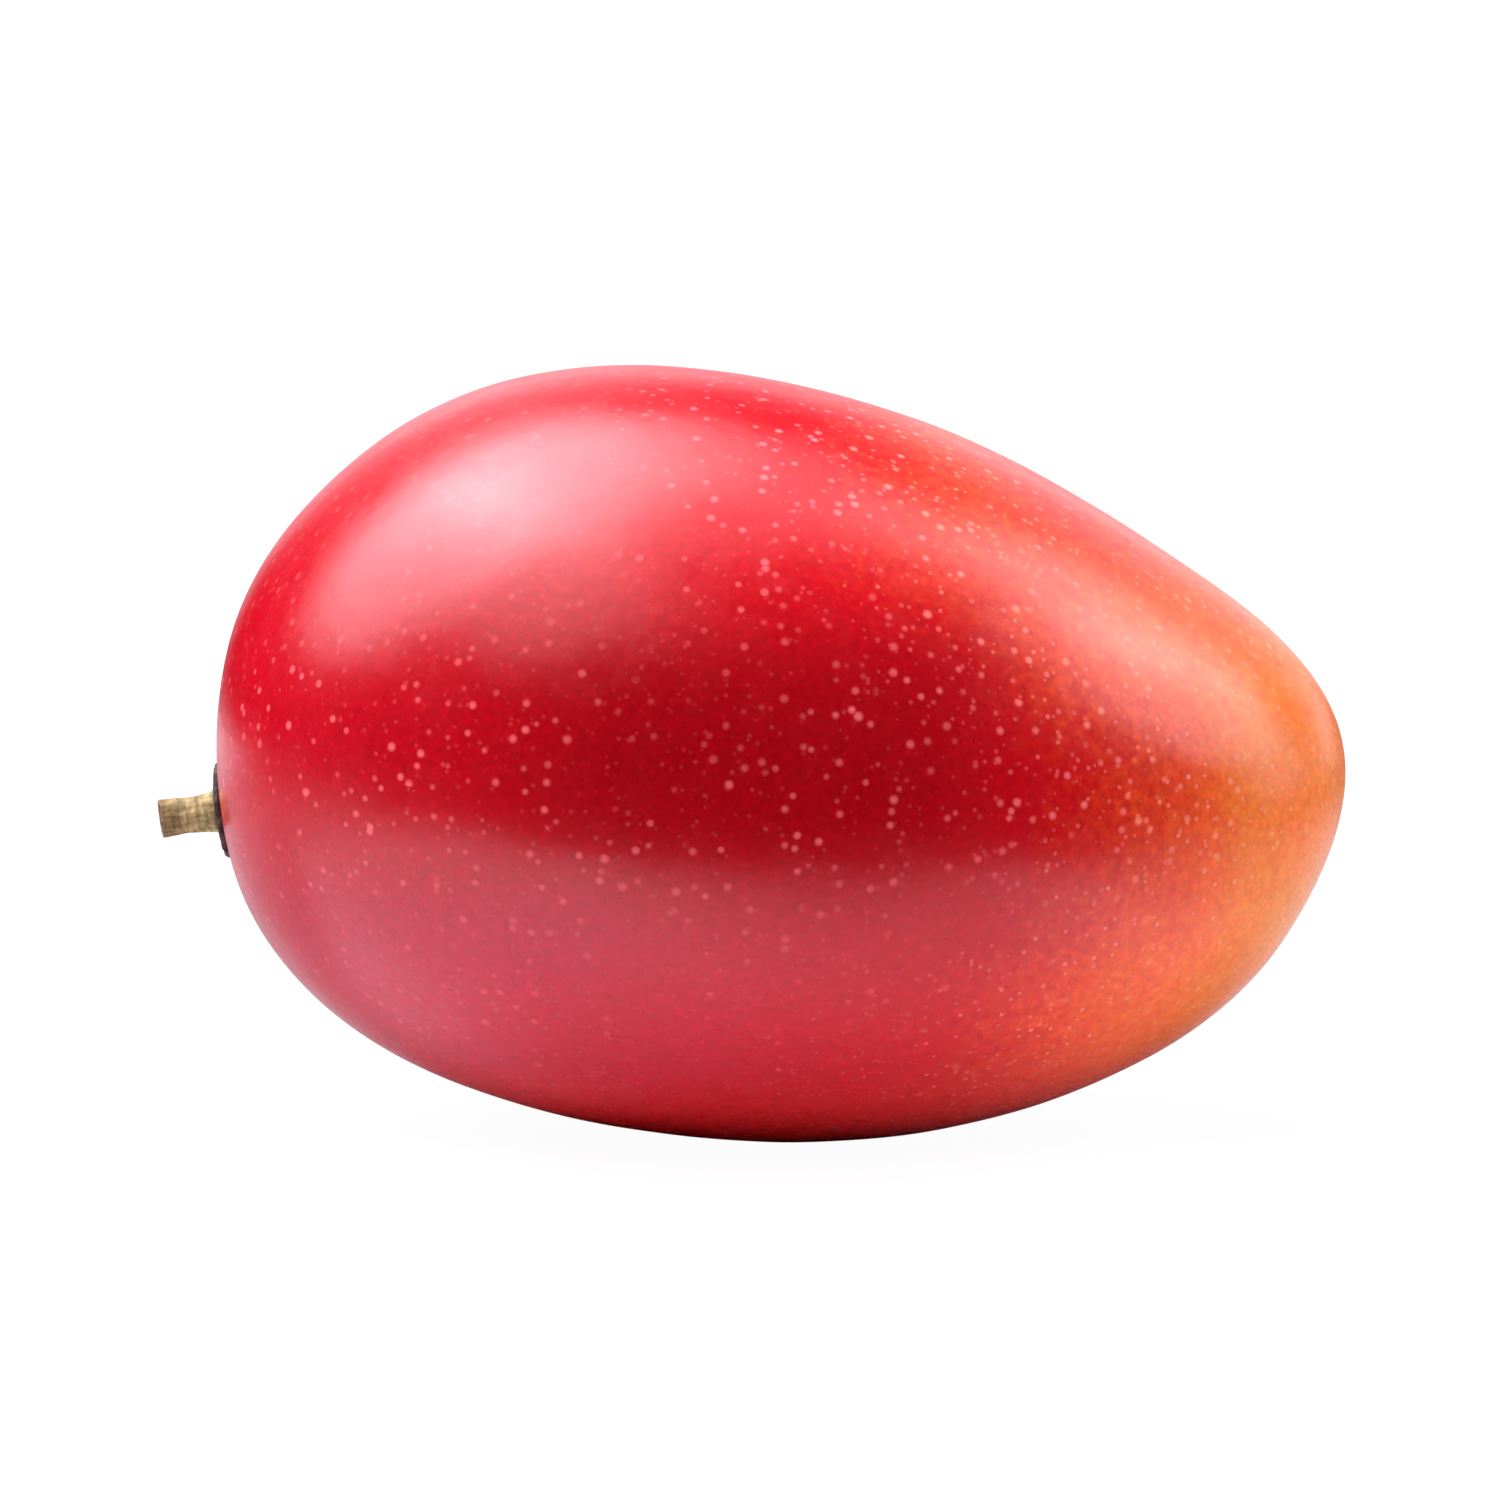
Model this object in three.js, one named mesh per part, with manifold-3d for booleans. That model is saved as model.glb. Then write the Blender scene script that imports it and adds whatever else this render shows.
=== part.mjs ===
// A whole ripe mango lying on one cheek, with the cut stub of its stem and the dry disc the stem grows from.
// Millimetres, +Z up. +X runs to the narrow end, so the stem points along -X, and the belly is towards +Y.
// The origin is on the surface that the fruit lies on, under the middle of the whole part.

import * as THREE from "three";
import { mergeVertices } from "three/addons/utils/BufferGeometryUtils.js";
import Module from "manifold-3d";

// The fruit is an ellipsoid of these sizes, whose skin stands out or in from it by a factor.
const FRUIT_LENGTH = 120;
const FRUIT_HEIGHT = 78.6; // from cheek to cheek
const FRUIT_WIDTH = 86; // from back to belly
// The factors stand at sixteen equal turns that start at the narrow end. The first list runs over the upper
// cheek to the stem end and home along the lower cheek, the second along the belly and home along the back.
const CHEEK_FACTORS = [
  0.985, 1.005, 0.935, 0.93, 0.975, 1.025, 0.995, 0.945, 0.925, 0.96, 1.03, 1.03, 0.99, 0.965, 0.955, 0.96,
];
const BELLY_FACTORS = [
  0.985, 0.985, 0.95, 0.945, 0.99, 1.035, 1.02, 0.965, 0.925, 0.955, 1.005, 1.02, 0.985, 0.95, 0.945, 0.97,
];
const LEAN = THREE.MathUtils.degToRad(8); // the long axis dips this much towards the narrow end
const REST_FLAT_DEPTH = 0.5; // the skin is pressed in this far by the surface that it lies on
const FRUIT_DETAIL = 15; // each edge of an icosahedron is split into one more piece than this

// The stem grows from the fruit's stem end, below the long axis.
const STEM_TURN = THREE.MathUtils.degToRad(200); // from the narrow end, over the upper cheek
const STEM_BASE_RADIUS = 2.2;
const STEM_NECK_RADIUS = 1.85;
const STEM_TIP_RADIUS = 1.95;
const STEM_TIP_ABOVE_SKIN = 7;
const STEM_SIDES = 28;

// The disc lies in a shallow round seat in the skin, and the stem stands on it.
const DISC_RADIUS = 5.2;
const DISC_RIM_THICKNESS = 0.8;
const DISC_THICKNESS = 1.2;
const DISC_SIDES = 40;
const SEAT_DEPTH = 0.4;
const GAP = 0.3; // between neighbouring pieces

const wasm = await Module();
wasm.setup();

// The closed surface of a geometry as a solid that can be cut.
function toSolid(geometry) {
  const bare = geometry.clone();
  bare.deleteAttribute("normal");
  bare.deleteAttribute("uv");
  const merged = mergeVertices(bare);
  const mesh = new wasm.Mesh({
    numProp: 3,
    vertProperties: merged.attributes.position.array,
    triVerts: new Uint32Array(merged.index.array),
  });
  return new wasm.Manifold(mesh);
}

function toGeometry(solid) {
  const mesh = solid.getMesh();
  const geometry = new THREE.BufferGeometry();
  geometry.setAttribute("position", new THREE.BufferAttribute(mesh.vertProperties, 3));
  geometry.setIndex(new THREE.BufferAttribute(mesh.triVerts, 1));
  geometry.computeVertexNormals();
  return geometry;
}

// The factor at any turn, on the smoothest closed curve through factors at equal turns (an even number).
function factorAt(factors, turn) {
  const count = factors.length;
  return factors.reduce((sum, factor, step) => {
    const away = turn - (2 * Math.PI * step) / count;
    const spread = count * Math.tan(away / 2);
    const share = Math.abs(spread) < 1e-9 ? 1 : Math.sin((count * away) / 2) / spread;
    return sum + factor * share;
  }, 0);
}

// The point of the skin in a direction from the fruit's middle, with the ellipsoid as a unit sphere whose
// +X is the narrow end. Between the cheek and belly outlines the factor goes smoothly from one to the other.
function skinPoint(direction) {
  const turn = Math.acos(THREE.MathUtils.clamp(direction.x, -1, 1));
  const roll = Math.atan2(direction.y, direction.z);
  const up = Math.cos(roll);
  const across = Math.sin(roll);
  const upper = factorAt(CHEEK_FACTORS, turn);
  const lower = factorAt(CHEEK_FACTORS, -turn);
  const belly = factorAt(BELLY_FACTORS, turn);
  const back = factorAt(BELLY_FACTORS, -turn);
  const cheeks = up * up * (upper + lower) + up * (upper - lower);
  const sides = across * across * (belly + back) + across * (belly - back);
  return new THREE.Vector3(FRUIT_LENGTH, FRUIT_WIDTH, FRUIT_HEIGHT)
    .multiply(direction)
    .multiplyScalar((cheeks + sides) / 4)
    .applyAxisAngle(new THREE.Vector3(0, 1, 0), LEAN);
}

// The outward normal of the skin there.
function skinNormal(direction) {
  const step = 1e-3;
  const east = new THREE.Vector3(0, 1, 0).cross(direction).normalize();
  const north = direction.clone().cross(east);
  const here = skinPoint(direction);
  const alongEast = skinPoint(direction.clone().addScaledVector(east, step).normalize()).sub(here);
  const alongNorth = skinPoint(direction.clone().addScaledVector(north, step).normalize()).sub(here);
  return alongEast.cross(alongNorth).normalize();
}

// The whole skin, before it is pressed flat or holds the disc.
function skinGeometry() {
  const geometry = new THREE.IcosahedronGeometry(1, FRUIT_DETAIL);
  const position = geometry.attributes.position;
  const direction = new THREE.Vector3();
  for (let i = 0; i < position.count; i++) {
    direction.fromBufferAttribute(position, i).normalize();
    position.setXYZ(i, ...skinPoint(direction));
  }
  return geometry;
}

// A frame whose +Y is the stem's own axis and whose origin is on the skin under the stem.
function stemFrame(restHeight) {
  const direction = new THREE.Vector3(Math.cos(STEM_TURN), 0, Math.sin(STEM_TURN));
  const frame = new THREE.Group();
  frame.position.copy(skinPoint(direction));
  frame.position.z -= restHeight;
  frame.quaternion.setFromUnitVectors(new THREE.Vector3(0, 1, 0), skinNormal(direction));
  frame.updateMatrixWorld();
  return frame;
}

// The fruit, lying on z = 0, with the seat for the disc cut along the stem's axis.
function fruitGeometry(skin, stemPlace) {
  const clearance = 10;
  const seat = new THREE.CylinderGeometry(
    DISC_RADIUS + GAP,
    DISC_RADIUS + GAP,
    SEAT_DEPTH + clearance,
    DISC_SIDES,
  );
  seat.translate(0, (clearance - SEAT_DEPTH) / 2, 0);
  seat.applyMatrix4(stemPlace.matrixWorld);
  const table = new THREE.BoxGeometry(FRUIT_LENGTH, FRUIT_WIDTH, clearance);
  table.translate(0, 0, -clearance / 2);
  return toGeometry(toSolid(skin).subtract(toSolid(table)).subtract(toSolid(seat)));
}

// A round piece from its profile: [radius, height] pairs from the axis at its foot to the axis on top.
function turned(profile, sides) {
  return new THREE.LatheGeometry(
    profile.map(([radius, height]) => new THREE.Vector2(radius, height)),
    sides,
  );
}

// Thin at the rim and slightly raised in the middle.
function discGeometry() {
  const geometry = turned(
    [
      [0, 0],
      [DISC_RADIUS, 0],
      [DISC_RADIUS, DISC_RIM_THICKNESS],
      [DISC_RADIUS * 0.6, DISC_THICKNESS],
      [0, DISC_THICKNESS],
    ],
    DISC_SIDES,
  );
  return geometry.translate(0, GAP - SEAT_DEPTH, 0);
}

// A stub that narrows to a neck and widens a little again at the cut.
function stemGeometry() {
  const foot = GAP - SEAT_DEPTH + DISC_THICKNESS + GAP;
  const length = STEM_TIP_ABOVE_SKIN - foot;
  const edge = 0.2; // the cut's rounded edge
  const geometry = turned(
    [
      [0, 0],
      [STEM_BASE_RADIUS, 0],
      [(STEM_BASE_RADIUS + STEM_NECK_RADIUS) / 2, length * 0.2],
      [STEM_NECK_RADIUS, length * 0.5],
      [STEM_NECK_RADIUS, length * 0.75],
      [STEM_TIP_RADIUS, length - edge],
      [STEM_TIP_RADIUS - edge, length],
      [0, length],
    ],
    STEM_SIDES,
  );
  return geometry.translate(0, foot, 0);
}

function piece(name, geometry, color, roughness) {
  const material = new THREE.MeshStandardMaterial({ color, roughness, metalness: 0 });
  const mesh = new THREE.Mesh(geometry, material);
  mesh.name = name;
  return mesh;
}

// The pieces in the part's frame: the fruit's pressed spot on z = 0, and the origin under their middle.
function buildMango() {
  const skin = skinGeometry();
  skin.computeBoundingBox();
  const restHeight = skin.boundingBox.min.z + REST_FLAT_DEPTH;
  skin.translate(0, 0, -restHeight);

  const stemPlace = stemFrame(restHeight);
  stemPlace.add(
    piece("calyx_disc", discGeometry(), 0x3a1a12, 0.85),
    piece("stem", stemGeometry(), 0xa98c5f, 0.8),
  );
  const pieces = new THREE.Group();
  pieces.add(piece("fruit", fruitGeometry(skin, stemPlace), 0xb8141c, 0.35), stemPlace);

  const middle = new THREE.Box3().setFromObject(pieces, true).getCenter(new THREE.Vector3());
  pieces.position.set(-middle.x, -middle.y, 0);
  return new THREE.Group().add(pieces);
}

export default buildMango();
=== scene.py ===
"""The looks of a whole ripe mango lying on one cheek: its skin, its stem's stub and the dry disc round that.

Metres, +Z up. +X runs to the fruit's narrow end, so the stem points along -X, and the belly is towards +Y.
"""

import itertools
import math

import bpy
import numpy as np
from mathutils import Matrix, Vector, noise


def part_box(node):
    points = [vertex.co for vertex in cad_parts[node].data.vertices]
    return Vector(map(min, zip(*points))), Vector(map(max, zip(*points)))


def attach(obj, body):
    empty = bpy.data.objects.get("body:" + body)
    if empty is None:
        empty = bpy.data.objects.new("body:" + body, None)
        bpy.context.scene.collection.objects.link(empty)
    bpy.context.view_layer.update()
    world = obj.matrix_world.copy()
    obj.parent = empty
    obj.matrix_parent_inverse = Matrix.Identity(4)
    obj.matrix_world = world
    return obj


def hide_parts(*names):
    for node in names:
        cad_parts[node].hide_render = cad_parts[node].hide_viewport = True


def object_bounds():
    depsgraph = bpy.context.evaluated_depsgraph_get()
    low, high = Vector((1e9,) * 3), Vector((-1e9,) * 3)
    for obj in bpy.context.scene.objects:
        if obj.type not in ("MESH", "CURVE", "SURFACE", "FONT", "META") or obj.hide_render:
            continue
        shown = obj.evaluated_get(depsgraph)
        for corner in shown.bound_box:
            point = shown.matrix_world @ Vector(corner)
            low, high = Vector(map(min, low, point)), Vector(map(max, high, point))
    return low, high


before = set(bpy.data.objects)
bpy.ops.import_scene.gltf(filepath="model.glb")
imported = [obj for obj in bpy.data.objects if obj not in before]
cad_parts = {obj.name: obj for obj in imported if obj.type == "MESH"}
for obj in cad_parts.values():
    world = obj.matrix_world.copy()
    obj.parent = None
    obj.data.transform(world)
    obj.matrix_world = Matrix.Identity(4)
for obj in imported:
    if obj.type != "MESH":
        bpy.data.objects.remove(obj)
cad_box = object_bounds()

MM = 0.001

# The fruit has the frame's form: an ellipsoid whose skin stands out or in by a factor.
FRUIT_SIZE = np.array([120, 86, 78.6]) * MM  # length, back to belly, cheek to cheek
# The factors stand at sixteen equal turns that start at the narrow end. The first list runs over the upper
# cheek to the stem end and home along the lower cheek, the second along the belly and home along the back.
CHEEK_FACTORS = [
    0.985, 1.005, 0.935, 0.93, 0.975, 1.025, 0.995, 0.945, 0.925, 0.96, 1.03, 1.03, 0.99, 0.965, 0.955, 0.96,
]
BELLY_FACTORS = [
    0.985, 0.985, 0.95, 0.945, 0.99, 1.035, 1.02, 0.965, 0.925, 0.955, 1.005, 1.02, 0.985, 0.95, 0.945, 0.97,
]
LEAN = math.radians(8)  # the long axis dips this much towards the narrow end
STEM_TURN = math.radians(200)  # where the stem grows: from the narrow end, over the upper cheek
SKIN_CELLS = 112  # along each edge of the cube whose sides are blown up to the skin
SKIN_WAVE = 0.22 * MM  # how deep the skin's uneven places go
SKIN_WAVE_LENGTH = 16 * MM
BAKE_MARGIN = 0.012  # round each side of the cube on the bake map, as a share of its width

# The stem and the disc are measured along the stem's axis, from the skin under it.
STEM_FOOT = 0.7 * MM
STEM_TIP = 6.97 * MM
STEM_BASE_RADIUS = 2.15 * MM
STEM_NECK_RADIUS = 1.8 * MM
STEM_TIP_RADIUS = 1.9 * MM
STEM_FLARE_END = 0.45  # where the wide foot ends, as a share of the stem's length
STEM_LIP_START = 0.55  # where the stem starts to widen again
STEM_RIDGES = 8
STEM_RIDGE_DEPTH = 0.045 * MM
STEM_ROUGHNESS = 0.09 * MM
STEM_SIDES = 96
STEM_LEVELS = 44
CUT_SLANT = math.radians(12)
CUT_DISH = 0.22 * MM
CUT_GRAIN = 0.07 * MM
CUT_STEPS = 9  # from the cut's edge to its middle
DISC_RADIUS = 5.15 * MM
DISC_FOOT = -0.36 * MM
DISC_RIM_TOP = 0.22 * MM
DISC_MIDDLE_TOP = 0.8 * MM
DISC_LOBES = 5
DISC_WRINKLES = 17
DISC_WRINKLE_DEPTH = 0.07 * MM
DISC_ROUGHNESS = 0.1 * MM
DISC_SIDES = 140
SEAT_DEPTH = 0.42 * MM  # the skin is pressed in this far under the disc

# The skin's colours, as linear red, green and blue. In the list each of them stands after its place on the
# way from red to orange, from 0 to 1.
RED_TO_ORANGE = [
    (0.0, 0.58, 0.0028, 0.009),
    (0.1, 0.61, 0.01, 0.009),
    (0.22, 0.67, 0.028, 0.011),
    (0.37, 0.81, 0.065, 0.014),
    (0.57, 0.94, 0.135, 0.018),
    (0.74, 0.98, 0.225, 0.024),
    (0.98, 0.98, 0.34, 0.05),
]
STEM_END_RED = (0.41, 0.0018, 0.012, 1)
CLOUD_RED = (0.45, 0.001, 0.006, 1)
LOW_PINK = (0.4, 0.006, 0.032, 1)
# Partly the skin's own deeper red and partly painted shade, for the band halfway up the -Y side.
DEEP_RED_AND_PAINTED_SHADE = (0.35, 0.001, 0.006, 1)
# Painted light: a lighter red low on the fruit, for light bounced up from the sheet.
PAINTED_BOUNCE_RED = (0.9, 0.015, 0.012, 1)
DOT_ON_RED = (0.98, 0.16, 0.17, 1)
DOT_ON_ORANGE = (0.98, 0.46, 0.22, 1)
RED_UNTIL = 14 * MM  # along the fruit: orange starts here,
ORANGE_FROM = 60 * MM  # and is full here

CAMERA_LENS = 100  # in millimetres, as is the sensor's width
CAMERA_SENSOR_WIDTH = 36
CAMERA_DISTANCE = 0.426
CAMERA_ELEVATION = math.radians(6)

# The white sheet that the fruit lies on. It is bright round one place and dim further off, so that the skin
# mirrors a dark room. One more place in front is dimmer, and one far behind on the left is less dim.
SHEET_FRONT = -100 * MM
SHEET_BACK = 2.0
SHEET_HALF_WIDTH = 2.0
LIT_PLACE = (-20 * MM, -60 * MM, 0)
DIM_PLACE_IN_FRONT = (30 * MM, -100 * MM, 0)
LESS_DIM_PLACE_BEHIND = (-350 * MM, 360 * MM, 0)
WHITE = 1.1  # the strength of the sheet and the world for the camera, enough to show as pure white

# The studio's soft round lights: azimuth, elevation, strength, how far the middle part reaches and how far
# the whole reaches. All but the strength are in degrees. Lights that overlap make one longer light.
SOFT_LIGHTS = [
    (263, 48, 6.6, 15, 33),  # the large one on the left, its top and its end towards the camera
    (234, 70, 8.0, 6, 35),
    (310, 70, 2.0, 5, 25),
    (321, 55, 3.2, 12, 29),
    (110, 44, 5.1, 2, 23),  # the tall one on the right
    (108, 62, 2.0, 3, 16),
    (92, 29.5, 4.1, 16, 19),
    (101, 4, 2.6, 0, 18),
    (133, 3, 1.3, 2, 18),
    (192, 82, 1.3, 26, 31),  # overhead
    (150, 23, 1.0, 11, 24),  # the wall behind
    (196, 28, 0.9, 1, 26),
    (180, 8, 0.75, 16, 26),
]


# ---- nodes ----


def node(tree, kind, inputs=None, **settings):
    """A new node. inputs gives a value or another node's output for each socket, by name or number."""
    made = tree.nodes.new("ShaderNode" + kind)
    for name, value in settings.items():
        setattr(made, name, value)
    for key, value in (inputs or {}).items():
        if isinstance(value, bpy.types.NodeSocket):
            tree.links.new(value, made.inputs[key])
        else:
            made.inputs[key].default_value = value
    return made


def calc(tree, operation, *values, clamp=False):
    """One operation on one, two or three numbers."""
    made = node(tree, "Math", dict(enumerate(values)), operation=operation, use_clamp=clamp)
    return made.outputs[0]


def total(tree, first, *others):
    """The sum of numbers."""
    for other in others:
        first = calc(tree, "ADD", first, other)
    return first


def product(tree, first, *others):
    """Numbers multiplied together."""
    for other in others:
        first = calc(tree, "MULTIPLY", first, other)
    return first


def fade(tree, value, start, end, low=0.0, high=1.0):
    """Goes smoothly from low to high while value goes from start to end."""
    inputs = {"Value": value, "From Min": start, "From Max": end, "To Min": low, "To Max": high}
    return node(tree, "MapRange", inputs, interpolation_type="SMOOTHSTEP").outputs[0]


def band(tree, value, middle, full, whole):
    """1 where value is within full of the middle, and fades to 0 where it is whole away from it."""
    away = calc(tree, "ABSOLUTE", calc(tree, "SUBTRACT", value, middle))
    return fade(tree, away, whole, full)


def distance(tree, place, point):
    """How far a place is from a point."""
    return node(tree, "VectorMath", {0: place, 1: point}, operation="DISTANCE").outputs["Value"]


def mottle(tree, place, size, detail=2.0):
    """Soft random blotches about this size across, from 0 to 1."""
    inputs = {"Vector": place, "Scale": 1 / size, "Detail": detail}
    return node(tree, "TexNoise", inputs).outputs["Fac"]


def mix(tree, amount, first, second, blend_type="MIX"):
    """From the first colour to the second as amount goes from 0 to 1."""
    inputs = {0: amount, 6: first, 7: second}
    made = node(tree, "Mix", inputs, data_type="RGBA", blend_type=blend_type)
    return made.outputs[2]


def color_steps(tree, value, steps):
    """A colour ramp through (place, red, green, blue) steps."""
    made = node(tree, "ValToRGB", {"Fac": value})
    elements = made.color_ramp.elements
    while len(elements) < len(steps):
        elements.new(1)
    for element, (place, *color) in zip(elements, steps):
        element.position = place
        element.color = (*color, 1)
    return made.outputs["Color"]


def bump(tree, height, depth):
    """Normals of a surface that stands out by height, from 0 to 1, times depth."""
    return node(tree, "Bump", {"Height": height, "Distance": depth}).outputs[0]


def new_material(name):
    """A new material, its nodes and its surface shader."""
    material = bpy.data.materials.new(name)
    material.use_nodes = True
    return material, material.node_tree, material.node_tree.nodes["Principled BSDF"]


# ---- skin material ----


def pale_dots(tree, place, spacing, radius, shift=0):
    """Round dots at random places: 1 in a dot's middle and 0 outside it, and a random number for each dot.

    Sets of dots with different shifts lie at different places."""
    moved = node(tree, "VectorMath", {0: place, 1: (shift, 0, 0)}, operation="ADD").outputs[0]
    cells = node(tree, "TexVoronoi", {"Vector": moved, "Scale": 1 / spacing})
    chance = node(tree, "SeparateColor", {0: cells.outputs["Color"]}).outputs[0]
    # A dot's own radius is 0.6 to 1.1 of the stated one. Distances in the cells are shares of the spacing.
    own_radius = calc(tree, "MULTIPLY_ADD", chance, 0.5 * radius / spacing, 0.6 * radius / spacing)
    share = calc(tree, "DIVIDE", cells.outputs["Distance"], own_radius)
    return fade(tree, share, 1.15, 0.3), chance


def kept_red(tree, x, y, z):
    """How much further along red goes: halfway up the -Y side, which lay in the sun, and at the tip."""
    sunny = product(
        tree,
        band(tree, z, 36 * MM, 4 * MM, 20 * MM),
        fade(tree, y, 10 * MM, -15 * MM),
        fade(tree, x, 52 * MM, 40 * MM, 0, 13 * MM),
    )
    tip = product(tree, band(tree, z, 36 * MM, 2 * MM, 13 * MM), fade(tree, x, 47 * MM, 55 * MM, 0, 11 * MM))
    return total(tree, sunny, tip)


def early_orange(tree, x, y, z):
    """How much sooner orange comes: on top, on the far side and low at the narrow end, but not high up."""
    top = product(tree, fade(tree, z, 52 * MM, 62 * MM), fade(tree, x, 34 * MM, 14 * MM, -1 * MM, 9 * MM))
    far_side = fade(tree, y, -10 * MM, 25 * MM, 0, 10 * MM)
    slope = calc(tree, "MULTIPLY_ADD", x, 0.7, z)
    narrow_half = fade(tree, slope, 77 * MM, 89 * MM, 3.5 * MM, -9 * MM)
    narrow_half = product(tree, narrow_half, fade(tree, x, 18 * MM, 38 * MM))
    return total(tree, top, far_side, narrow_half)


def length_for_color(tree, place, x, y, z):
    """How far along the fruit a point's colour belongs: its x, changed where red or orange goes further."""
    clouds = calc(tree, "MULTIPLY_ADD", mottle(tree, place, 12 * MM, 4), 10 * MM, -5 * MM)
    speckle = calc(tree, "MULTIPLY_ADD", mottle(tree, place, 1.1 * MM, 2), 20 * MM, -10 * MM)
    later = calc(tree, "SUBTRACT", x, kept_red(tree, x, y, z))
    return total(tree, later, early_orange(tree, x, y, z), clouds, speckle)


def flushed_color(tree, place, x, y, z, ripe):
    """Red to orange as ripe goes from 0 to 1, with deeper, cloudy and pinker places in the red, a deeper
    band that is partly painted shade, and a lighter bottom that is painted light bounced up from the sheet.
    """
    stem_end = fade(tree, x, 5 * MM, -58 * MM, 0, 0.85)
    clouds = fade(tree, mottle(tree, place, 25 * MM, 4), 0.35, 0.65, 0, 0.22)
    low = product(tree, fade(tree, x, 28 * MM, -20 * MM), fade(tree, z, 38 * MM, 24 * MM, 0, 0.6))
    # A deeper red band halfway up the -Y side: partly the skin's own blush and partly painted shade, where
    # that side faces away from the lights.
    deep_band_and_painted_shade = product(
        tree,
        band(tree, z, 43 * MM, 5 * MM, 17 * MM),
        fade(tree, y, 10 * MM, -15 * MM),
        fade(tree, x, -32 * MM, -10 * MM),
        fade(tree, x, 30 * MM, 14 * MM, 0, 0.65),
    )
    # Painted light: the bottom is a lighter red, for light bounced up from the sheet.
    underside = fade(tree, z, 13 * MM, 4 * MM, 0, 0.6)
    color = color_steps(tree, ripe, RED_TO_ORANGE)
    for amount, red in [
        (stem_end, STEM_END_RED),
        (clouds, CLOUD_RED),
        (low, LOW_PINK),
        (deep_band_and_painted_shade, DEEP_RED_AND_PAINTED_SHADE),
        (underside, PAINTED_BOUNCE_RED),
    ]:
        color = mix(tree, amount, color, red)
    grain = fade(tree, mottle(tree, place, 0.7 * MM, 3), 0.3, 0.75, 0.88, 1.1)
    gray = node(tree, "CombineColor", {0: grain, 1: grain, 2: grain}).outputs[0]
    return mix(tree, 1.0, color, gray, "MULTIPLY")


def skin_dots(tree, place, x, z, along):
    """Larger dots in drifts, fewer low down and over the stem end, and fine ones towards the narrow end."""
    drift = fade(tree, mottle(tree, place, 20 * MM, 1), 0.36, 0.5, 0.4, 1)
    over_stem_end = product(tree, fade(tree, x, 0, -18 * MM), fade(tree, z, 44 * MM, 56 * MM))
    fewer = calc(tree, "MAXIMUM", fade(tree, z, 38 * MM, 26 * MM), over_stem_end)
    shown = calc(tree, "MULTIPLY_ADD", fewer, -0.7, drift, clamp=True)
    large, chance = pale_dots(tree, place, spacing=1.68 * MM, radius=0.49 * MM)
    large = product(tree, large, fade(tree, chance, 0.0, 0.7, 0.35, 1), shown)
    fine, chance = pale_dots(tree, place, spacing=1.0 * MM, radius=0.27 * MM, shift=0.3)
    fine = product(tree, fine, chance, fade(tree, along, 0, 30 * MM, 0.2, 1))
    return calc(tree, "MAXIMUM", large, fine)


def skin_material():
    """Waxy red skin that turns orange at the narrow end, with pale dots."""
    material, tree, surface = new_material("mango_skin")
    place = node(tree, "TexCoord").outputs["Object"]
    x, y, z = node(tree, "SeparateXYZ", {0: place}).outputs
    along = length_for_color(tree, place, x, y, z)
    way = {"Value": along, "From Min": RED_UNTIL, "From Max": ORANGE_FROM}
    ripe = node(tree, "MapRange", way).outputs[0]
    dots = skin_dots(tree, place, x, z, along)
    dot_color = mix(tree, ripe, DOT_ON_RED, DOT_ON_ORANGE)
    color = mix(tree, product(tree, dots, 0.8), flushed_color(tree, place, x, y, z, ripe), dot_color)
    tree.links.new(color, surface.inputs["Base Color"])
    roughness = fade(tree, mottle(tree, place, 4 * MM, 3), 0.3, 0.7, 0.23, 0.29)
    tree.links.new(calc(tree, "MULTIPLY_ADD", dots, 0.1, roughness), surface.inputs["Roughness"])
    surface.inputs["IOR"].default_value = 1.42
    relief = calc(tree, "MULTIPLY_ADD", dots, 0.25, mottle(tree, place, 2.2 * MM, 3))
    tree.links.new(bump(tree, relief, 0.035 * MM), surface.inputs["Normal"])
    return material


# ---- stem and disc materials ----


def own_place(tree):
    """Where a point is in its piece's own frame, with +Z along the stem."""
    return node(tree, "Attribute", attribute_name="own_place").outputs["Vector"]


def stretched(tree, place, along):
    """The place scaled along the stem: what is drawn on it comes out longer below 1, and shorter above 1."""
    return node(tree, "Mapping", {"Vector": place, "Scale": (1, 1, along)}).outputs[0]


def bark_material():
    """Dry tan stalk with lengthwise fibres and faint rings, and a darker cut face."""
    material, tree, surface = new_material("stem_bark")
    place = own_place(tree)
    fibres = mottle(tree, stretched(tree, place, 0.15), 0.45 * MM, 3)
    rings = mottle(tree, stretched(tree, place, 4), 2.4 * MM, 3)
    tone = total(tree, product(tree, fibres, 0.35), product(tree, rings, 0.65))
    bark = color_steps(
        tree,
        tone,
        [
            (0.36, 0.09, 0.055, 0.014),
            (0.46, 0.24, 0.17, 0.055),
            (0.55, 0.4, 0.31, 0.13),
            (0.68, 0.58, 0.48, 0.25),
        ],
    )
    height = node(tree, "SeparateXYZ", {0: place}).outputs[2]
    browned = fade(tree, height, 2 * MM, 6.8 * MM, 0, 0.65)
    bark = mix(tree, browned, bark, (0.13, 0.08, 0.022, 1))
    wood = color_steps(
        tree,
        mottle(tree, place, 0.4 * MM, 4),
        [(0.35, 0.045, 0.022, 0.008), (0.5, 0.13, 0.07, 0.025), (0.65, 0.24, 0.15, 0.06)],
    )
    cut = node(tree, "Attribute", attribute_name="cut_face").outputs["Fac"]
    tree.links.new(mix(tree, cut, bark, wood), surface.inputs["Base Color"])
    tree.links.new(fade(tree, fibres, 0.3, 0.7, 0.65, 0.9), surface.inputs["Roughness"])
    tree.links.new(bump(tree, tone, 0.25 * MM), surface.inputs["Normal"])
    return material


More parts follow.
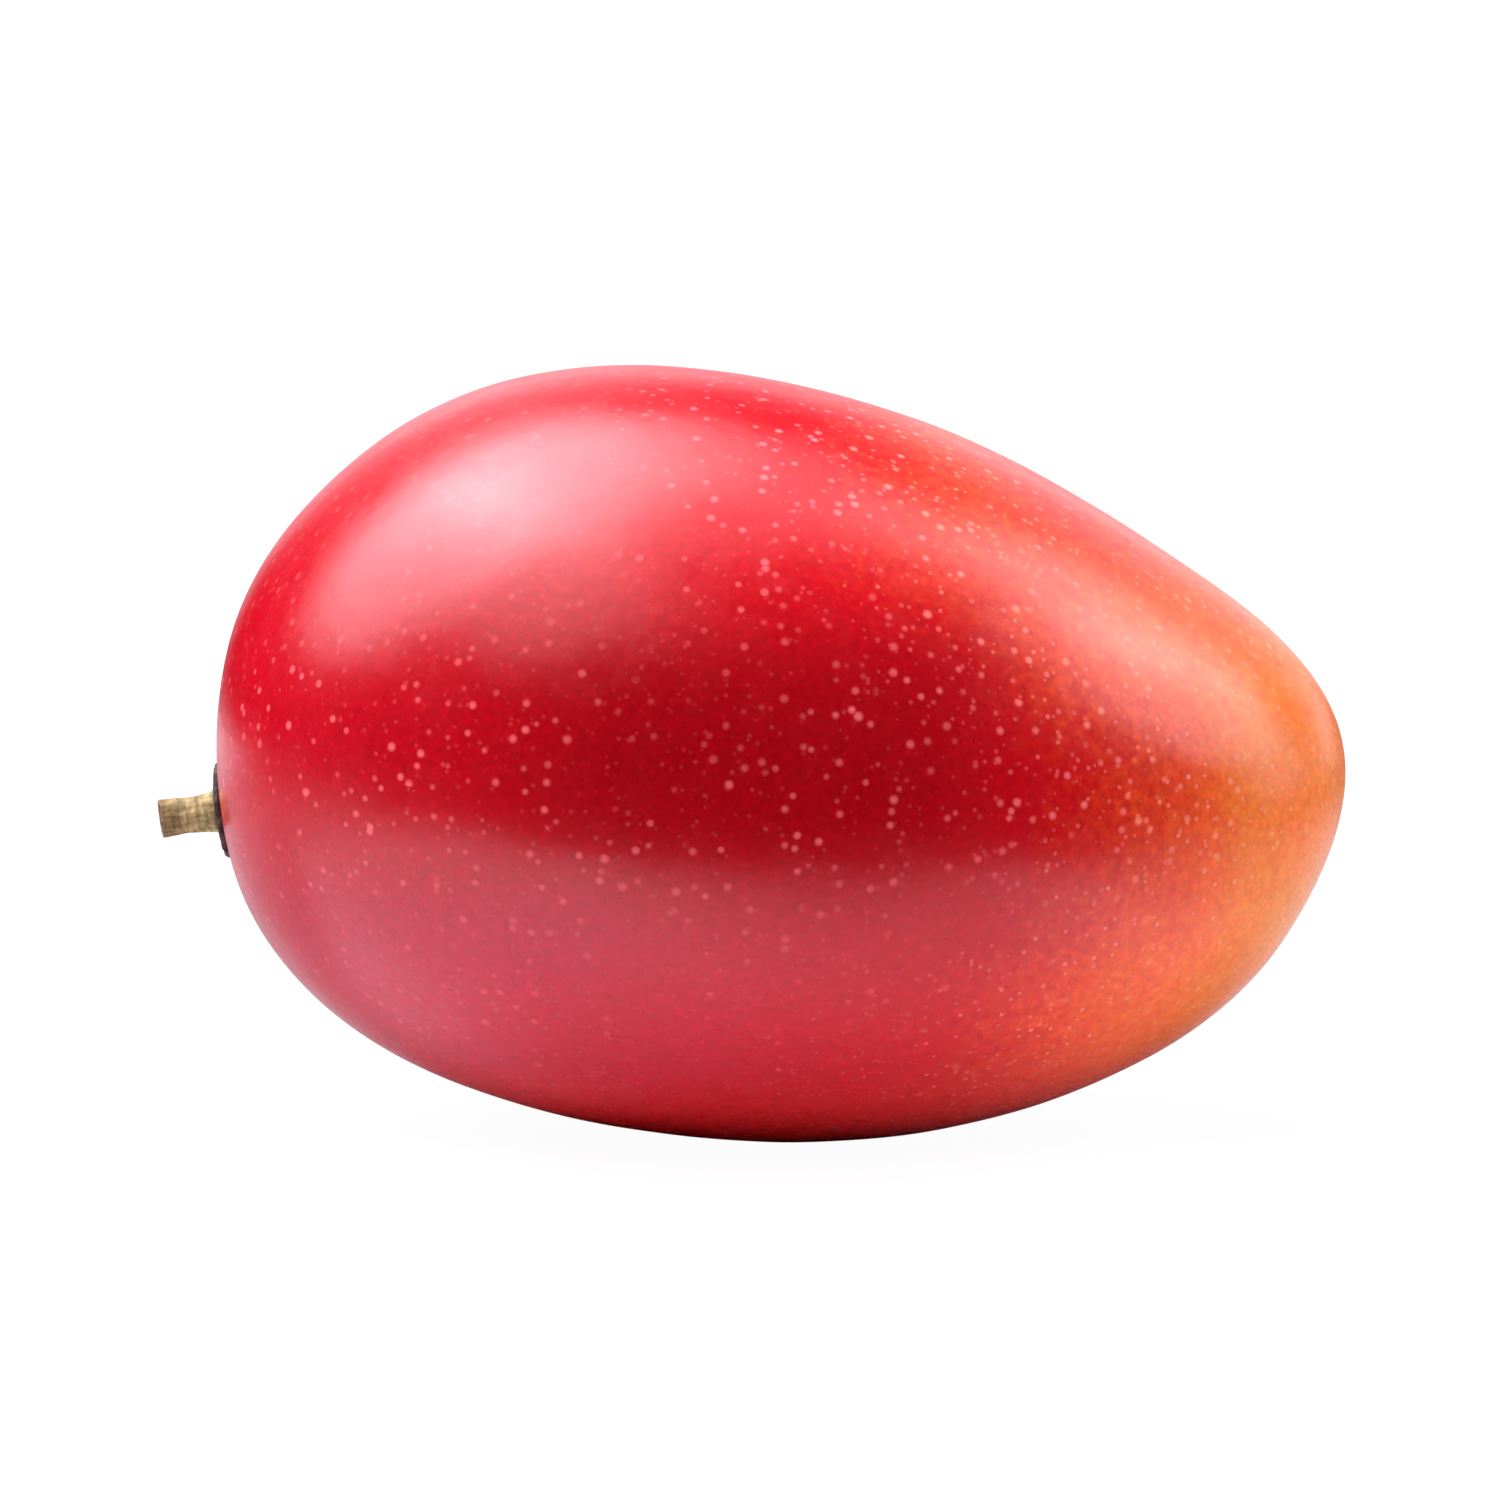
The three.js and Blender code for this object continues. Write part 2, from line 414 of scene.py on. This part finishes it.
def disc_material():
    """Dry dark brown, cracked and a little lighter on what stands out."""
    material, tree, surface = new_material("dry_calyx")
    place = own_place(tree)
    crust = mottle(tree, place, 0.8 * MM, 5)
    color = color_steps(
        tree,
        crust,
        [(0.35, 0.008, 0.003, 0.002), (0.52, 0.04, 0.012, 0.007), (0.68, 0.12, 0.05, 0.022)],
    )
    tree.links.new(color, surface.inputs["Base Color"])
    tree.links.new(fade(tree, crust, 0.3, 0.7, 0.9, 0.65), surface.inputs["Roughness"])
    tree.links.new(bump(tree, crust, 0.3 * MM), surface.inputs["Normal"])
    return material


# ---- the fruit's form ----


def factor_at(factors, turn):
    """The factor at any turn, on the smoothest closed curve through the factors. Their number is even."""
    count = len(factors)
    found = np.zeros_like(turn)
    for step, factor in enumerate(factors):
        away = turn - 2 * math.pi * step / count
        spread = count * np.tan(away / 2)
        at_step = np.abs(spread) < 1e-9
        share = np.sin(count * away / 2) / np.where(at_step, 1, spread)
        found += factor * np.where(at_step, 1, share)
    return found


def skin_points(directions):
    """The skin's points in unit directions from its middle, as they lie in the frame but for a shift."""
    turn = np.arccos(np.clip(directions[:, 0], -1, 1))
    roll = np.arctan2(directions[:, 1], directions[:, 2])
    up = np.cos(roll)
    across = np.sin(roll)
    upper = factor_at(CHEEK_FACTORS, turn)
    lower = factor_at(CHEEK_FACTORS, -turn)
    belly = factor_at(BELLY_FACTORS, turn)
    back = factor_at(BELLY_FACTORS, -turn)
    cheeks = up * up * (upper + lower) + up * (upper - lower)
    sides = across * across * (belly + back) + across * (belly - back)
    points = directions * FRUIT_SIZE * ((cheeks + sides) / 4)[:, None]
    return points @ np.array(Matrix.Rotation(LEAN, 3, "Y")).T


def stem_place(shift):
    """The frame whose +Z is the stem's axis and whose origin is on the skin, with +Y kept level."""
    direction = np.array([math.cos(STEM_TURN), 0, math.sin(STEM_TURN)])
    step = 1e-3
    across = np.array([0, step, 0])
    around = np.array([-step * direction[2], 0, step * direction[0]])
    nearby = np.array([direction, direction + across, direction + around])
    nearby /= np.linalg.norm(nearby, axis=1)[:, None]
    foot, foot_across, foot_around = (Vector(point) for point in skin_points(nearby))
    axis = (foot_across - foot).cross(foot_around - foot).normalized()
    level = (Vector((0, 1, 0)) - axis * axis.y).normalized()
    turned = Matrix((level.cross(axis), level, axis)).transposed()
    return Matrix.Translation(foot + shift) @ turned.to_4x4()


def bake_place(column, row, u, v):
    """Where a corner of a cell lies on the bake map, which has the cube's six sides in three rows."""
    inner = 1 - 2 * BAKE_MARGIN
    return (
        (column + BAKE_MARGIN + inner * u / SKIN_CELLS) / 2,
        (row + BAKE_MARGIN + inner * v / SKIN_CELLS) / 3,
    )


def cube_skin():
    """A cube's sides as a grid of cells: its points as whole numbers, the points of each cell, and each cell
    corner's place on the bake map."""
    index = {}
    cells = []
    corner_places = []
    for row, (side, across, along) in enumerate([(0, 1, 2), (2, 0, 1), (1, 0, 2)]):
        for column, level in enumerate((0, SKIN_CELLS)):
            # Across, along and outwards are right-handed on the high x and z sides and on the low y side.
            outward = (level > 0) == (side != 1)
            for i, j in itertools.product(range(SKIN_CELLS), repeat=2):
                corners = [(i, j), (i + 1, j), (i + 1, j + 1), (i, j + 1)]
                if not outward:
                    corners.reverse()
                cell = []
                for u, v in corners:
                    key = [0, 0, 0]
                    key[side], key[across], key[along] = level, u, v
                    cell.append(index.setdefault(tuple(key), len(index)))
                    corner_places.append(bake_place(column, row, u, v))
                cells.append(cell)
    return np.array(list(index)), cells, corner_places


def pressed(points, place, normal):
    """The points, with those beyond a plane pressed back to it."""
    beyond = np.maximum((points - np.array(place)) @ np.array(normal), 0)
    return points - beyond[:, None] * np.array(normal)


def mesh_object(name, points, faces, material):
    """A smooth object in the scene, made of this material."""
    mesh = bpy.data.meshes.new(name)
    mesh.from_pydata(np.asarray(points).tolist(), [], faces)
    mesh.polygons.foreach_set("use_smooth", [True] * len(faces))
    mesh.materials.append(material)
    made = bpy.data.objects.new(name, mesh)
    bpy.context.scene.collection.objects.link(made)
    return made


def make_fruit():
    """The skin, and where the stem stands on it."""
    grid, cells, corner_places = cube_skin()
    directions = np.tan((grid / SKIN_CELLS - 0.5) * math.pi / 2)
    directions /= np.linalg.norm(directions, axis=1)[:, None]
    points = skin_points(directions)
    shift = Vector(np.array(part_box("fruit")[1]) - points.max(axis=0))
    stem = stem_place(shift)

    waves = [noise.fractal(Vector(point) / SKIN_WAVE_LENGTH, 1.0, 2.0, 2) for point in points]
    inward = SKIN_WAVE * (0.5 + 0.5 * np.clip(waves, -1, 1))
    points = points + np.array(shift) - directions * inward[:, None]
    near_stem = np.linalg.norm(points - np.array(stem.translation), axis=1) < 2 * DISC_RADIUS
    axis = stem.to_3x3().col[2]
    seat = stem.translation - axis * SEAT_DEPTH
    points[near_stem] = pressed(points[near_stem], seat, axis)
    points = pressed(points, (0, 0, 0), (0, 0, -1))

    fruit = mesh_object("mango_fruit", points, cells, skin_material())
    layer = fruit.data.uv_layers.new(name="OFBake")
    layer.data.foreach_set("uv", np.array(corner_places).ravel())
    return fruit, stem


# ---- stem and disc ----


def turns(count):
    """Equal turns round a circle."""
    return [2 * math.pi * step / count for step in range(count)]


def round_piece(name, rings, place, material, cut_rings=0):
    """A closed piece from rings of points, with each ring closed in itself and the ends closed by a fan.

    The points are in the stem's frame, and are kept as own_place. The last cut_rings are a cut face."""
    sides = len(rings[0])
    points = [point for ring in rings for point in ring]
    ends = [np.mean(rings[0], axis=0), np.mean(rings[-1], axis=0)]
    faces = []
    for ring in range(len(rings) - 1):
        for side in range(sides):
            a = ring * sides + side
            b = ring * sides + (side + 1) % sides
            faces.append([a, b, b + sides, a + sides])
    last = (len(rings) - 1) * sides
    for side in range(sides):
        following = (side + 1) % sides
        faces.append([len(points), following, side])
        faces.append([len(points) + 1, last + side, last + following])
    local = np.array([*points, *ends])
    matrix = np.array(place)
    piece = mesh_object(name, local @ matrix[:3, :3].T + matrix[:3, 3], faces, material)
    own = piece.data.attributes.new("own_place", "FLOAT_VECTOR", "POINT")
    own.data.foreach_set("vector", local.ravel())
    cut = piece.data.attributes.new("cut_face", "FLOAT", "POINT")
    is_cut = np.zeros(len(local))
    is_cut[sides * (len(rings) - cut_rings) : sides * len(rings)] = 1
    is_cut[-1] = min(cut_rings, 1)
    cut.data.foreach_set("value", is_cut)
    return piece


def bark_radius(angle, height):
    """The stem's radius: wide at the foot, narrow at the neck, and wider at the cut, ridged and rough."""
    share = (height - STEM_FOOT) / (STEM_TIP - STEM_FOOT)
    flare = (STEM_BASE_RADIUS - STEM_NECK_RADIUS) * max(0, 1 - share / STEM_FLARE_END) ** 2
    lip = (STEM_TIP_RADIUS - STEM_NECK_RADIUS) * max(0, share - STEM_LIP_START) / (1 - STEM_LIP_START)
    # The noise changes over a length of about 1: here half a radius round the stem, and 4 mm along it.
    spot = Vector((2 * math.cos(angle), 2 * math.sin(angle), 260 * height))
    ridges = STEM_RIDGE_DEPTH * math.cos(STEM_RIDGES * angle + 2 * noise.noise(spot))
    rough = STEM_ROUGHNESS * noise.noise(spot * Vector((2.2, 2.2, 3.4)))
    return STEM_NECK_RADIUS + flare + lip + ridges + rough


def cut_height(y):
    """The height of the stem's slanting cut, which falls towards -Y."""
    return STEM_TIP - math.tan(CUT_SLANT) * (STEM_TIP_RADIUS - y)


def bark_ring(share):
    """A ring round the bark, at a share of the way from the foot to the cut."""
    ring = []
    for angle in turns(STEM_SIDES):
        top = cut_height(STEM_TIP_RADIUS * math.sin(angle))
        height = STEM_FOOT + share * (top - STEM_FOOT)
        radius = bark_radius(angle, height)
        ring.append((radius * math.cos(angle), radius * math.sin(angle), height))
    return ring


def cut_ring(edge, share):
    """A ring on the dished, grainy cut, at a share of the way from its middle to its edge."""
    ring = []
    for x, y, _ in edge:
        dish = CUT_DISH * (1 - share**4)
        grain = CUT_GRAIN * noise.noise(Vector((x, y, 0)) * share / (0.4 * MM))
        ring.append((x * share, y * share, cut_height(y * share) - dish + grain))
    return ring


def make_stem(place):
    """The cut stub: bark, and a slanting cut that faces -Y a little."""
    rings = [bark_ring(level / STEM_LEVELS) for level in range(STEM_LEVELS + 1)]
    edge = rings[-1]
    cut = [cut_ring(edge, 1 - step / CUT_STEPS) for step in range(1, CUT_STEPS)]
    return round_piece("mango_stem", rings + cut, place, bark_material(), cut_rings=len(cut))


def disc_rim(angle):
    """The disc's radius, with lobes and an uneven edge, and DISC_RADIUS about as far as it reaches."""
    lobes = 0.02 * math.cos(DISC_LOBES * angle + 0.6)
    uneven = 0.035 * noise.noise(Vector((1.6 * math.cos(angle), 1.6 * math.sin(angle), 3)))
    return DISC_RADIUS * (0.955 + lobes + uneven)


def disc_top(share, angle):
    """The height of the disc's top, at a share of the way from its middle to its rim."""
    rise = (DISC_MIDDLE_TOP - DISC_RIM_TOP) * (1 - share**2)
    wrinkle = DISC_WRINKLE_DEPTH * math.cos(DISC_WRINKLES * angle + 3 * math.sin(2 * angle)) * share
    spot = Vector((share * math.cos(angle), share * math.sin(angle), 0)) * 5
    return DISC_RIM_TOP + rise + wrinkle + DISC_ROUGHNESS * noise.noise(spot)


def disc_ring(share, level, lift=0):
    """A ring at a share of the disc's radius, on the underside at level 0 and on the top at level 1."""
    ring = []
    for angle in turns(DISC_SIDES):
        radius = disc_rim(angle) * share
        height = DISC_FOOT + level * (disc_top(share, angle) - DISC_FOOT) + lift
        ring.append((radius * math.cos(angle), radius * math.sin(angle), height))
    return ring


def make_disc(place):
    """The dry disc: a thin, uneven, lobed rim, raised towards the stem and wrinkled outwards."""
    underside = [disc_ring(share, 0) for share in (0.3, 0.7, 0.93)]
    rounded_edge = [disc_ring(0.985, 0, 0.12 * MM), disc_ring(1, 0.5), disc_ring(0.985, 1, -0.1 * MM)]
    top = [disc_ring(0.95 - 0.05 * step, 1) for step in range(18)]
    return round_piece("calyx_disc_dry", underside + rounded_edge + top, place, disc_material())


# ---- studio ----


def only_for_camera(tree, amount, seen_by_camera, seen_by_others):
    """Shows one shader to the camera, by amount, and the other to reflections and to light on its way."""
    is_camera = node(tree, "LightPath").outputs["Is Camera Ray"]
    share = calc(tree, "MULTIPLY", is_camera, amount)
    return node(tree, "MixShader", {0: share, 1: seen_by_others, 2: seen_by_camera}).outputs[0]


def unlit_share(tree, place):
    """How dim the sheet is at a place on it, from 0 where it is fully lit to 1 where it is black."""
    away = distance(tree, place, LIT_PLACE)
    outwards = total(
        tree,
        fade(tree, away, 80 * MM, 150 * MM, 0, 0.6),
        fade(tree, away, 150 * MM, 400 * MM, 0, 0.35),
    )
    # Painted shade: the sheet is dimmer from a little in front of the fruit's middle backwards, under and
    # behind it.
    behind = fade(tree, node(tree, "SeparateXYZ", {0: place}).outputs[1], -22 * MM, 0, 0, 0.68)
    # Only what mirrors the sheet sees the dim place in front. The light that the sheet scatters doesn't.
    mirrored = calc(tree, "SUBTRACT", 1, node(tree, "LightPath").outputs["Is Diffuse Ray"])
    in_front = fade(tree, distance(tree, place, DIM_PLACE_IN_FRONT), 80 * MM, 15 * MM, 0, 0.65)
    unlit = calc(tree, "MAXIMUM", behind, product(tree, mirrored, in_front))
    unlit = calc(tree, "MAXIMUM", outwards, unlit)
    less_dim = distance(tree, place, LESS_DIM_PLACE_BEHIND)
    return product(tree, unlit, fade(tree, less_dim, 120 * MM, 300 * MM, 0.55, 1))


def sheet_material():
    """White to the camera, with a hint of the fruit's shadow. To all else it is paper that dims outwards."""
    material, tree, surface = new_material("white_sheet")
    place = node(tree, "TexCoord").outputs["Object"]
    paper = mix(tree, mottle(tree, place, 3 * MM, 4), (0.77, 0.765, 0.8, 1), (0.82, 0.815, 0.85, 1))
    paper = mix(tree, unlit_share(tree, place), paper, (0, 0, 0, 1))
    tree.links.new(paper, surface.inputs["Base Color"])
    surface.inputs["Roughness"].default_value = 0.9
    surface.inputs["Specular IOR Level"].default_value = 0.2
    white = node(tree, "Emission", {"Color": (1, 1, 1, 1), "Strength": WHITE}).outputs[0]
    whiteness = fade(tree, distance(tree, place, (0, 0, 0)), 60 * MM, 200 * MM, 0.88, 1)
    shader = only_for_camera(tree, whiteness, white, surface.outputs[0])
    tree.links.new(shader, tree.nodes["Material Output"].inputs["Surface"])
    return material


def make_floor():
    """The white sheet. It ends a little in front of the fruit, where the fruit mirrors the dark room."""
    corners = [
        (-SHEET_HALF_WIDTH, SHEET_FRONT, 0),
        (SHEET_HALF_WIDTH, SHEET_FRONT, 0),
        (SHEET_HALF_WIDTH, SHEET_BACK, 0),
        (-SHEET_HALF_WIDTH, SHEET_BACK, 0),
    ]
    floor = mesh_object("white_sheet", corners, [[0, 1, 2, 3]], sheet_material())


def direction_of(azimuth, elevation):
    """The unit vector to a place round the fruit: azimuth 0 is -Y and 90 is +X, in degrees."""
    turn, rise = math.radians(azimuth), math.radians(elevation)
    return Vector((math.sin(turn) * math.cos(rise), -math.cos(turn) * math.cos(rise), math.sin(rise)))


def glow(tree, looking, azimuth, elevation, strength, full, whole):
    """A soft round light in the room: full strength in its middle part, and none past its whole reach."""
    middle = direction_of(azimuth, elevation)
    facing = node(tree, "VectorMath", {0: looking, 1: middle}, operation="DOT_PRODUCT").outputs["Value"]
    angle = calc(tree, "ARCCOSINE", facing)
    return fade(tree, angle, math.radians(whole), math.radians(full), 0, strength)


def make_world():
    """White to the camera. To all else a dark room with large soft lights."""
    world = bpy.data.worlds.new("studio")
    bpy.context.scene.world = world
    world.use_nodes = True
    tree = world.node_tree
    looking = node(tree, "TexCoord").outputs["Generated"]
    strength = total(tree, *(glow(tree, looking, *light) for light in SOFT_LIGHTS))
    room = node(tree, "Background", {"Color": (1, 0.95, 1.03, 1), "Strength": strength}).outputs[0]
    white = node(tree, "Background", {"Color": (1, 1, 1, 1), "Strength": WHITE}).outputs[0]
    shader = only_for_camera(tree, 1.0, white, room)
    tree.links.new(shader, tree.nodes["World Output"].inputs["Surface"])


def make_camera():
    """A camera that looks along +Y at the middle of the whole part, from a little above it."""
    middle = (cad_box[0] + cad_box[1]) / 2
    camera = bpy.data.cameras.new("camera")
    camera.lens = CAMERA_LENS
    camera.sensor_width = CAMERA_SENSOR_WIDTH
    made = bpy.data.objects.new("camera", camera)
    towards = Vector((0, -math.cos(CAMERA_ELEVATION), math.sin(CAMERA_ELEVATION)))
    made.location = middle + towards * CAMERA_DISTANCE
    made.rotation_euler = towards.to_track_quat("Z", "Y").to_euler()
    bpy.context.scene.collection.objects.link(made)
    bpy.context.scene.camera = made


# ---- the whole scene ----

make_camera()
fruit, stem_frame = make_fruit()
stem = make_stem(stem_frame)
disc = make_disc(stem_frame)
for piece, cad_node, slot in [
    (fruit, "fruit", "skin"),
    (stem, "stem", "stem_bark"),
    (disc, "calyx_disc", "dry_calyx"),
]:
    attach(piece, "root")
    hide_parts(cad_node)

make_floor()
make_world()
bpy.context.scene.view_settings.view_transform = "Standard"
